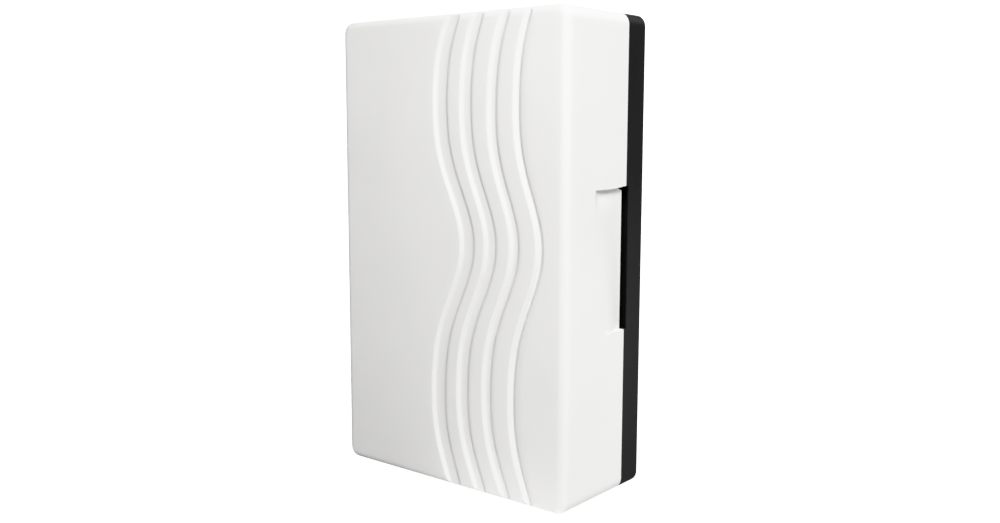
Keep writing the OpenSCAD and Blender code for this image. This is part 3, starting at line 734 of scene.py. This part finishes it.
    def columns(self) -> np.ndarray:
        """Places of the grid's columns: close together on the banks, wide apart elsewhere."""
        soft, sharp = self.banks()
        bank, step = self.bank_w / 2, self.step_w / 2
        parts = [np.linspace(-self.straight_w, soft[0] - bank, self.plain_columns)]
        for low, high in zip(soft, sharp):
            parts.append(np.linspace(low - bank, low + bank, self.bank_columns))
            parts.append(np.linspace(low + bank, high - step, self.bed_columns))
            parts.append(np.linspace(high - step, high + step, self.step_columns))
        for left, right in zip(sharp[:-1], soft[1:]):
            parts.append(np.linspace(left + step, right - bank, self.land_columns))
        parts.append(np.linspace(sharp[-1] + step, self.straight_w, self.rim_columns))
        return np.unique(np.concatenate(parts).round(COLUMN_DIGITS))

    def rows(self) -> np.ndarray:
        """Heights of the grid's rows, with close pairs at the ends of scoops and backing."""
        ends = np.array([self.scoop_h / 2, self.scoop_h / 2 + self.wall])
        pairs = np.concatenate([ends, ends + self.shelf])
        count = int(2 * self.straight_h / self.row_step)
        even = np.linspace(-self.straight_h, self.straight_h, count)
        near = np.min(np.abs(np.abs(even)[:, None] - pairs), axis=1) < self.row_clear
        return np.sort(np.concatenate([even[~near], pairs, -pairs]))

    def outline(self) -> tuple[np.ndarray, np.ndarray]:
        """Edge of the flat front, counter-clockwise as seen from the front.

        Returns:
            Places (x, z) at no wave, and the outward directions there.
        """
        x, z = self.columns(), self.rows()
        turn = np.linspace(0.0, np.pi / 2, self.corner_steps + 1)[1:-1]
        small = self.corner_r - self.edge_r
        places, ways = [], []
        for quarter, run in enumerate((z, x[::-1], z[::-1], x)):
            start, upright = quarter * np.pi / 2, quarter % 2 == 0
            way = np.array([math.cos(start), math.sin(start)]).round(TURN_DIGITS)
            across = np.full_like(run, self.flat_w if upright else self.flat_h) * way.sum()
            places.append(np.stack([across, run] if upright else [run, across], axis=1))
            ways.append(np.broadcast_to(way, (len(run), 2)))
            bend = np.stack([np.cos(turn + start), np.sin(turn + start)], axis=1)
            signs = np.sign(bend[len(bend) // 2])
            places.append(signs * (self.straight_w, self.straight_h) + small * bend)
            ways.append(bend)
        return np.concatenate(places), np.concatenate(ways)

    def dent(self, back: np.ndarray, z: np.ndarray) -> np.ndarray:
        """Depth of a scoop on the outer wall.

        Formula: with s the share of the run from the joint forward, the scoop eases in as (1 -
        s^2)^k, with k growing downwards by the square of the way down, and under its upper end it
        is crisp, 1 - s^n over a shorter run. The crisp share falls off downwards as a bell curve.

        Args:
            back: Distances back from the front face.
            z: Heights.

        Returns:
            How far the wall lies inside the plain one.
        """
        ahead, down = self.depth - back, self.scoop_h / 2 - z
        s = np.clip(ahead / self.scoop_run, 0.0, 1.0)
        near = np.clip(ahead / self.shelf_run, 0.0, 1.0)
        crisp = np.exp(-((down / self.scoop_fade) ** 2))
        power = self.scoop_ease + self.scoop_narrow * np.clip(down / self.scoop_h, 0.0, 1.0) ** 2
        shelf, slope = 1 - near**self.scoop_crisp, (1 - s * s) ** power
        return self.scoop_depth * (crisp * shelf + (1 - crisp) * slope)

    def sag(self, back: np.ndarray, z: np.ndarray) -> np.ndarray:
        """Drop of the side wall's rows, which bends a scoop's upper end down towards the front.

        Formula: the drop grows forward from the joint by a quarter sine, falls off by another to
        none at the front edge, and fades upwards and downwards as a bell curve.

        Args:
            back: Distances back from the front face.
            z: Heights of the rows.

        Returns:
            How far the rows lie lower there.
        """
        plain = self.depth - self.scoop_run - self.edge_r
        share = np.minimum((self.depth - back) / self.sag_run, (back - self.edge_r) / plain)
        bell = np.exp(-(((z - self.scoop_h / 2) / self.sag_reach) ** 2))
        return self.shelf_sag * np.sin(np.pi / 2 * np.clip(share, 0.0, 1.0)) * bell

    def gap(self, z: np.ndarray) -> np.ndarray:
        """Width of a sound slot at heights z.

        Formula: the slot is even, with a notch under its upper end that narrows as a bell curve.
        """
        bell = np.exp(-(((self.scoop_h / 2 - z) / self.notch_h) ** 2))
        return self.sound_gap + self.notch_run * bell

    def inner_dent(self, back: np.ndarray) -> np.ndarray:
        """Depth of a scoop's backing on the inner wall, at distances back from the front face.

        Formula: the backing is a cylinder along the height, whose radius is (run^2 + d^2) / (2 d)
        plus the wall for a depth of d at the joint, so at a distance t from the joint the dent is d
        - radius + sqrt(radius^2 - t^2), and never less than none.
        """
        deep, t = self.backing_depth, self.depth - back
        radius = (self.scoop_run**2 + deep**2) / (2 * deep) + self.wall
        return np.maximum(deep - radius + np.sqrt(radius * radius - t * t), 0.0)

    def rings(self, out: np.ndarray, back: np.ndarray, more: float) -> np.ndarray:
        """Rings of points round the shell, each the outline moved outwards and back.

        Args:
            out: How far each ring lies outside the flat front's edge.
            back: How far each ring lies behind the front face.
            more: How far the rings' surface lies inside the outer one.

        Returns:
            Points of shape (rings, outline, 3).
        """
        place, way = self.outline()
        outer, side = more == 0.0, way[:, 1] == 0.0
        z = place[:, 1] + way[:, 1] * out[:, None]
        x = place[:, 0] + way[:, 0] * out[:, None] + self.shift(place[:, 0], z)
        y = np.broadcast_to(back[:, None], z.shape)
        height = np.broadcast_to(place[:, 1], z.shape)
        level, end = np.abs(place[:, 1]), self.scoop_h / 2 + self.shelf / 2
        slot, beside = side & (level < end), side & (level < end + more)
        y = np.where(slot, np.minimum(y, self.depth - self.gap(height)), y)
        dent = self.dent(y, height) if outer else self.inner_dent(y)
        x = x - way[:, 0] * np.where(beside, dent, 0.0)
        z = z - np.where(side & outer, self.sag(y, height), 0.0)
        relief = self.groove(place[:, 0]) if outer else 0.0
        return np.stack([x, self.front + np.maximum(y, relief), z], axis=-1)

    def ring_places(self) -> np.ndarray:
        """Distances of the walls' rings back from the front face, closest at the scoops' tips."""
        tip = self.depth - self.scoop_run
        full = self.depth - self.tip_share * self.scoop_run
        return np.concatenate([
            np.linspace(self.edge_r, tip, self.plain_rings)[1:],
            np.linspace(tip, full, self.tip_rings)[1:],
            np.linspace(full, self.depth - self.sound_gap, self.scoop_rings)[1:],
            [self.depth]])

    def add_front(self, skin: Skin) -> None:
        """Add the front face.

        Formula: the face is the grid of columns and rows, with the shift added to x and the grooves
        to y. Its corner quads are left out, and a fan over a quarter turn fills each.

        Args:
            skin: The skin that gets it.
        """
        x = np.concatenate([[-self.flat_w], self.columns(), [self.flat_w]])
        z = np.concatenate([[-self.flat_h], self.rows(), [self.flat_h]])
        wide = x + self.shift(x, z[:, None])
        deep = np.broadcast_to(self.front + self.groove(x), wide.shape)
        high = np.broadcast_to(z[:, None], wide.shape)
        keep = np.ones((len(z) - 1, len(x) - 1), bool)
        keep[np.ix_([0, -1], [0, -1])] = False
        skin.add_grid(np.stack([wide, deep, high], axis=-1), keep=keep)
        turn = np.linspace(0.0, np.pi / 2, self.corner_steps + 1)
        for quarter in range(4):
            angle = turn + quarter * np.pi / 2
            bend = np.stack([np.cos(angle), np.sin(angle)], axis=1).round(TURN_DIGITS)
            middle = np.sign(bend[self.corner_steps // 2]) * (self.straight_w, self.straight_h)
            fan = np.concatenate([middle[None], middle + (self.corner_r - self.edge_r) * bend])
            level = np.full(len(fan), self.front)
            skin.add_polygon(np.stack([fan[:, 0], level, fan[:, 1]], axis=1))

    def skin(self) -> Skin:
        """Work out the whole closed shell.

        Formula: round the front run rings: over the front edge by a quarter turn, back along the
        outer walls, and forward again along the inner walls to the inner front.

        Returns:
            The shell's patches.
        """
        skin = Skin()
        self.add_front(skin)
        turn = np.linspace(0.0, np.pi / 2, self.corner_steps + 1)
        walls, inner_r = self.ring_places(), self.edge_r - self.wall
        outer = self.rings(
            np.concatenate([self.edge_r * np.sin(turn), np.full(len(walls), self.edge_r)]),
            np.concatenate([self.edge_r * (1 - np.cos(turn)), walls]), 0.0)
        walls, turn = walls[walls > self.front_wall + inner_r][::-1], turn[::-1]
        inner = self.rings(
            np.concatenate([np.full(len(walls), inner_r), inner_r * np.sin(turn)]),
            np.concatenate([walls, self.front_wall + inner_r * (1 - np.cos(turn))]), self.wall)
        skin.add_grid(np.concatenate([outer, inner]), wrap=True, flip=True)
        skin.add_polygon(inner[-1, ::-1])
        return skin

    def make(self) -> Object:
        """Build the cover, and stand it for the CAD cover."""
        piece = self.skin().build("cover_shell")
        return wear(piece, WHITE_ABS, "white_plastic", "chime_cover", "cover")


@dataclass
class ReturnSpring:
    """Compression spring between the yoke and the low tip's seat, with closed end turns."""

    wire_r: float = 0.27
    active_turns: float = 5.5
    end_turns: float = 1.0
    steps: int = 28
    sides: int = 12
    slack: float = 1.5

    def make(self) -> Object:
        """Build the spring in the place of the CAD spring.

        Formula: the wire runs round the axis at a steady angle, and forward by its own thickness in
        each closed end turn and evenly in the active turns.

        Returns:
            The spring.
        """
        low, high = (np.array(corner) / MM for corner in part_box("return_spring"))
        radius = (high[2] - low[2]) / 2 - self.wire_r
        axis_y, axis_z = (low[1:] + high[1:]) / 2
        turns = self.active_turns + 2 * self.end_turns
        turn = np.linspace(0.0, turns, int(turns * self.steps) + 1)
        start, end = low[0] + self.wire_r, high[0] - self.wire_r
        dead = 2 * self.wire_r * self.end_turns
        x = np.interp(turn, [0.0, self.end_turns, turns - self.end_turns, turns],
                      [start, start + dead, end - dead, end])
        angle = 2 * np.pi * turn
        out = np.stack([np.zeros_like(angle), -np.sin(angle), np.cos(angle)], axis=1)
        axis = np.stack([x, np.full_like(x, axis_y), np.full_like(x, axis_z)], axis=1)
        skin = Skin()
        skin.add_tube(axis + radius * out, out, np.full(len(turn), self.wire_r), self.sides)
        piece = wear(skin.build("return_spring_wire"), SPRING_WIRE, "spring_steel", "",
                     "return_spring")
        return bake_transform(piece)


@dataclass
class CoilLeads:
    """The coil's two insulated leads, and the solder at their pins."""

    radius: float = 0.8
    steps: int = 14
    sides: int = 18
    end_run: float = 0.35
    end_share: float = 0.8
    solder_r: float = 1.15
    solder_l: float = 3.4
    solder_steps: int = 15
    solder_trim: float = 0.04
    solder_plump: float = 0.6
    route_a: tuple[Point, ...] = (
        (15.05, -20.05, 21.0), (15.05, -26.05, 21.0), (14.0, -34.0, 17.0),
        (8.0, -43.0, 12.0), (7.0, -49.0, 10.5), (7.0, -58.0, 10.5))
    route_b: tuple[Point, ...] = (
        (15.05, -20.05, 31.0), (15.05, -26.05, 31.0), (11.0, -34.0, 25.0),
        (-3.0, -42.0, 16.0), (-7.0, -49.0, 10.5), (-7.0, -58.0, 10.5))

    def lead(self, name: str, route: tuple[Point, ...], finish: Finish, slot: str,
             node: str) -> Object:
        """Build one lead.

        Formula: a round tube on the smooth curve through the route, whose radius grows over its
        ends by the square root of the way.

        Args:
            name: Name of the piece.
            route: Points of the bench drawing that the lead runs through.
            finish: Its finish.
            slot: Name of a material slot, handed on to wear.
            node: The CAD node that it stands for.

        Returns:
            The lead.
        """
        line = spline(bench(route), self.steps)
        run = np.concatenate([[0.0], np.cumsum(np.linalg.norm(np.diff(line, axis=0), axis=1))])
        near = np.clip(np.minimum(run, run[-1] - run) / self.end_run, 0.0, 1.0)
        radii = self.radius * (self.end_share + (1 - self.end_share) * np.sqrt(near))
        skin = Skin()
        skin.add_tube(line, ALONG_X, radii, self.sides)
        return wear(skin.build(name), finish, slot, "chime_base", node)

    def solder(self) -> Object:
        """Build the two solder joints: round beads about the pins' ends.

        Formula: each bead's radius follows a sine over its length, raised to a power below one.

        Returns:
            The two beads as one piece.
        """
        skin = Skin()
        share = np.linspace(self.solder_trim, 1 - self.solder_trim, self.solder_steps)
        radii = self.solder_r * np.sin(np.pi * share) ** self.solder_plump
        for route in (self.route_a, self.route_b):
            line = bench(route)[0] + ALONG_Z * (0.5 - share[:, None]) * self.solder_l
            skin.add_tube(line, ALONG_X, radii, self.sides)
        return wear(skin.build("lead_solder"), TINNED, "tinned_pin", "chime_base")

    def make(self) -> list[Object]:
        """Build both leads and their solder."""
        return [self.lead("coil_lead_red", self.route_a, RED_PVC, "red_lead", "coil_lead_a"),
                self.lead("coil_lead_black", self.route_b, BLACK_PVC, "black_lead", "coil_lead_b"),
                self.solder()]


@dataclass(frozen=True)
class Lamp:
    """A square soft light: where it stands, what it looks at, its width and its power in watts."""

    name: str
    place: Point
    target: Point
    size: float
    power: float

    def make(self) -> Object:
        """Add the light, turned to its target and hidden from the camera.

        Returns:
            The light.
        """
        lamp = bpy.data.lights.new(self.name, "AREA")
        lamp.size = self.size
        lamp.energy = self.power
        made = bpy.data.objects.new(self.name, lamp)
        made.location = self.place
        made.visible_camera = False
        x, y, z = np.array(self.target) - np.array(self.place)
        made.rotation_euler = (math.atan2(math.hypot(x, y), -z), 0.0, math.atan2(-x, y))
        bpy.context.scene.collection.objects.link(made)
        return made


@dataclass
class Studio:
    """Pale light table, white surroundings, soft lights and the camera."""

    floor_drop: float = 0.0005
    floor_half: float = 6.0
    paper_tones: tuple[float, float] = (0.38, 0.41)
    paper_cloud: float = 3.0
    paper_through: float = 0.5
    sheet_tone: float = 0.8
    sheet_glow: float = 0.85
    near_glow: float = 1.65
    glow_limits: tuple[float, float] = (0.2, 0.6)
    surround: float = 0.09
    backdrop: float = 1.8
    lamps: tuple[Lamp, ...] = (
        Lamp("key_softbox", (0.37, -0.67, 0.38), (0.0, -0.03, 0.0), 0.25, 6.3),
        Lamp("side_fill", (0.58, 0.36, 0.84), (0.06, -0.03, 0.0), 0.9, 9.3),
        Lamp("low_fill", (0.3, 0.12, -0.08), (0.06, -0.03, -0.08), 0.09, 0.24),
        Lamp("back_fill", (-0.8, 1.0, 0.3), (0.0, 0.0, 0.0), 0.7, 9.0),
        Lamp("top_softbox", (0.0, -0.03, 0.9), (0.0, -0.03, 0.1), 0.4, 0.45),
        Lamp("table_glow", (0.06, -0.05, -0.19), (0.06, -0.05, -0.1), 0.07, 0.16),
        Lamp("edge_glow_right", (0.05, -0.071, -0.11), (0.05, -0.06, -0.1), 0.03, 0.0022),
        Lamp("edge_glow_middle", (0.015, -0.071, -0.11), (0.015, -0.06, -0.1), 0.03, 0.0022))
    lens: float = 36.559
    sensor: float = 36.0
    clip_start: float = 0.01
    camera_place: Point = (0.285904, -0.370228, 0.053191)
    azimuth: float = 39.131
    elevation: float = 7.446
    roll: float = -0.122
    film_curve: int = 3
    film_white: float = 1.5
    shoulder: tuple[tuple[float, float], ...] = (
        (0.75, 0.75), (0.84, 0.83), (0.92, 0.883), (1.02, 0.932), (1.2, 0.968))

    def paper(self) -> Material:
        """Build the floor's material.

        The camera sees a white sheet that glows a little more far off. All other rays meet pale
        paper that lets a share of the light through from below.

        Returns:
            The material.
        """
        made = bpy.data.materials.new("floor_paper")
        tree = bare_tree(made)
        place = tree.add("ShaderNodeTexCoord").outputs["Object"]
        first, second = self.paper_tones
        tone = tree.mix(tree.noise(place, self.paper_cloud, detail=2.0), grey(first), grey(second))
        paper = tree.blend(self.paper_through, tree.add("ShaderNodeBsdfDiffuse", Color=tone),
                           tree.add("ShaderNodeBsdfTransparent"))
        far = tree.feed(tree.add("ShaderNodeVectorMath", {"operation": "LENGTH"}), place)
        strength = tree.span(far.outputs["Value"], self.near_glow, self.backdrop, *self.glow_limits)
        sheet = tree.blend(self.sheet_glow,
                           tree.add("ShaderNodeBsdfDiffuse", Color=grey(self.sheet_tone)),
                           tree.add("ShaderNodeEmission", Color=grey(1.0), Strength=strength))
        tree.add("ShaderNodeOutputMaterial", Surface=tree.seen(paper, sheet).outputs["Shader"])
        return made

    def floor(self) -> Object:
        """Build the floor, a flat sheet just under the chime.

        Returns:
            The floor.
        """
        half = self.floor_half / MM
        level = CAD_BOX[0].z / MM - self.floor_drop / MM
        skin = Skin()
        skin.add_polygon(np.array([[-half, -half, level], [half, -half, level],
                                   [half, half, level], [-half, half, level]]))
        piece = skin.build("studio_floor")
        piece.data.materials.append(self.paper())
        return piece

    def world(self) -> None:
        """Set white surroundings that light softly and show as a white backdrop."""
        world = bpy.data.worlds.new("studio_world")
        tree = bare_tree(world)
        soft, white = (tree.add("ShaderNodeBackground", Color=grey(1.0), Strength=strength)
                       for strength in (self.surround, self.backdrop))
        tree.add("ShaderNodeOutputWorld", Surface=tree.seen(soft, white).outputs["Shader"])
        bpy.context.scene.world = world

    def camera(self) -> Object:
        """Set the camera at the photograph's viewing angle.

        Returns:
            The camera.
        """
        lens = bpy.data.cameras.new("photo_camera")
        lens.lens = self.lens
        lens.sensor_width = self.sensor
        lens.clip_start = self.clip_start
        made = bpy.data.objects.new("photo_camera", lens)
        made.location = self.camera_place
        made.rotation_euler = (math.radians(90.0 - self.elevation), math.radians(self.roll),
                               math.radians(self.azimuth))
        bpy.context.scene.collection.objects.link(made)
        bpy.context.scene.camera = made
        return made

    def film(self) -> None:
        """Ease the highlights: true up to the shoulder, then slower up to white."""
        view = bpy.context.scene.view_settings
        view.view_transform = "Standard"
        view.use_curve_mapping = True
        view.curve_mapping.white_level = (self.film_white,) * 3
        points = view.curve_mapping.curves[self.film_curve].points
        for light, shown in self.shoulder:
            points.new(light / self.film_white, shown)
        for point in points:
            point.handle_type = "VECTOR"
        view.curve_mapping.update()

    def make(self) -> None:
        """Set up the camera, the floor, the surroundings, the lights and the film."""
        self.camera()
        self.floor()
        self.world()
        for lamp in self.lamps:
            lamp.make()
        self.film()


def dress_nodes() -> None:
    """Give every CAD node that stays in view its finish, in its own material slots."""
    for name, finish in NODE_FINISHES.items():
        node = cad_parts[name]
        for place in node.material_slots:
            place.material = finish.material()
        LOG.info("node %s: %s", name, finish.name)


def main() -> None:
    """Build the studio and the pieces in order."""
    logging.basicConfig(level=logging.INFO, format="%(name)s: %(message)s")
    Studio().make()
    pieces = [CoverShell().make(), ReturnSpring().make(), *CoilLeads().make()]
    for piece in pieces:
        LOG.info("piece %s: %d faces", piece.name, len(piece.data.polygons))
    dress_nodes()


if __name__ == "__main__":
    main()
